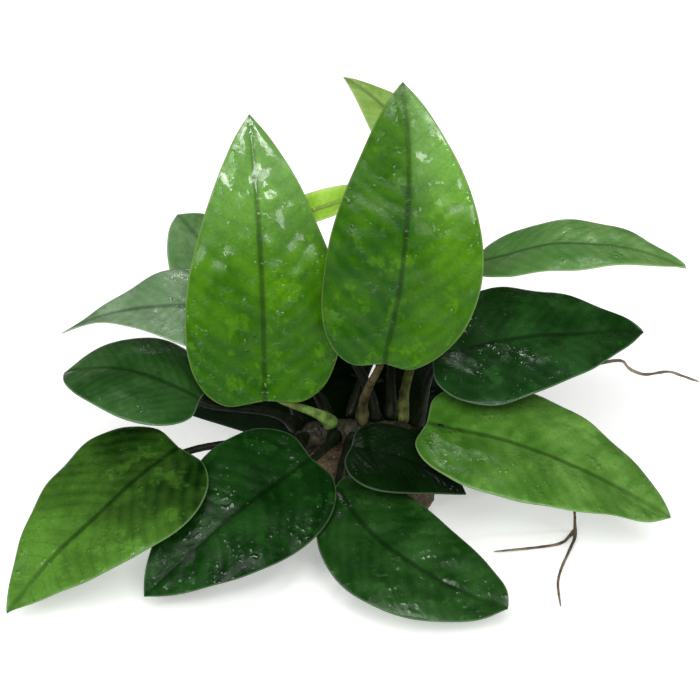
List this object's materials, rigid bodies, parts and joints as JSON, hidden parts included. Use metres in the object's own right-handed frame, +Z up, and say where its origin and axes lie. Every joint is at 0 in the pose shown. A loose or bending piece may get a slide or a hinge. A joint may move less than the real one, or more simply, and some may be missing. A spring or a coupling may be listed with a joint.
{
  "type": "anubias nana on stone",
  "caption": "Aquarium plant with broad heart-based leaves on stalks from a creeping rhizome, its roots clasping a small flat-bottomed stone.",
  "frame": {"origin": "on the stone's flat underside, below the middle of the rhizome", "axes": "+Z up; -Y is the plant's front; +X to the right seen from the front"},
  "size_m": [0.1472, 0.089, 0.1042],
  "materials": {
    "leaf_bright": "glossy, wet, bright green",
    "leaf_light": "glossy, wet, young light green",
    "leaf_mid": "glossy, wet, mid green",
    "leaf_grey": "glossy, wet, greyish green",
    "leaf_dark": "glossy, wet, very dark green",
    "stalk": "smooth, olive green",
    "rhizome": "ringed with leaf scars, brown-green",
    "root": "matt brown",
    "stone": "rough, damp brown stone"
  },
  "bodies": {
    "root": {"leaf_back_left": "leaf_grey", "leaf_back_low_left": "leaf_dark", "leaf_back_low_right": "leaf_dark", "leaf_back_tip": "leaf_light", "leaf_centre": "leaf_dark", "leaf_front_left": "leaf_dark", "leaf_front_right": "leaf_dark", "leaf_left_front": "leaf_mid", "leaf_left_middle": "leaf_dark", "leaf_left_upper": "leaf_grey", "leaf_right_back": "leaf_grey", "leaf_right_front": "leaf_mid", "leaf_right_middle": "leaf_dark", "leaf_right_upper": "leaf_grey", "leaf_tall_left": "leaf_bright", "leaf_tall_right": "leaf_bright", "leaf_young": "leaf_light", "rhizome": "rhizome", "root_back_left": "root", "root_back_middle": "root", "root_back_right": "root", "root_free_right": "root", "root_front_left": "root", "root_front_middle": "root", "root_front_right": "root", "root_ground": "root", "root_ground_front": "root", "root_ground_left": "root", "stalk_back_left": "stalk", "stalk_back_low_left": "stalk", "stalk_back_low_right": "stalk", "stalk_back_tip": "stalk", "stalk_centre": "stalk", "stalk_front_left": "stalk", "stalk_front_right": "stalk", "stalk_left_front": "stalk", "stalk_left_middle": "stalk", "stalk_left_upper": "stalk", "stalk_right_back": "stalk", "stalk_right_front": "stalk", "stalk_right_middle": "stalk", "stalk_right_upper": "stalk", "stalk_tall_left": "stalk", "stalk_tall_right": "stalk", "stalk_young": "stalk", "stone": "stone"}
  },
  "joints": []
}
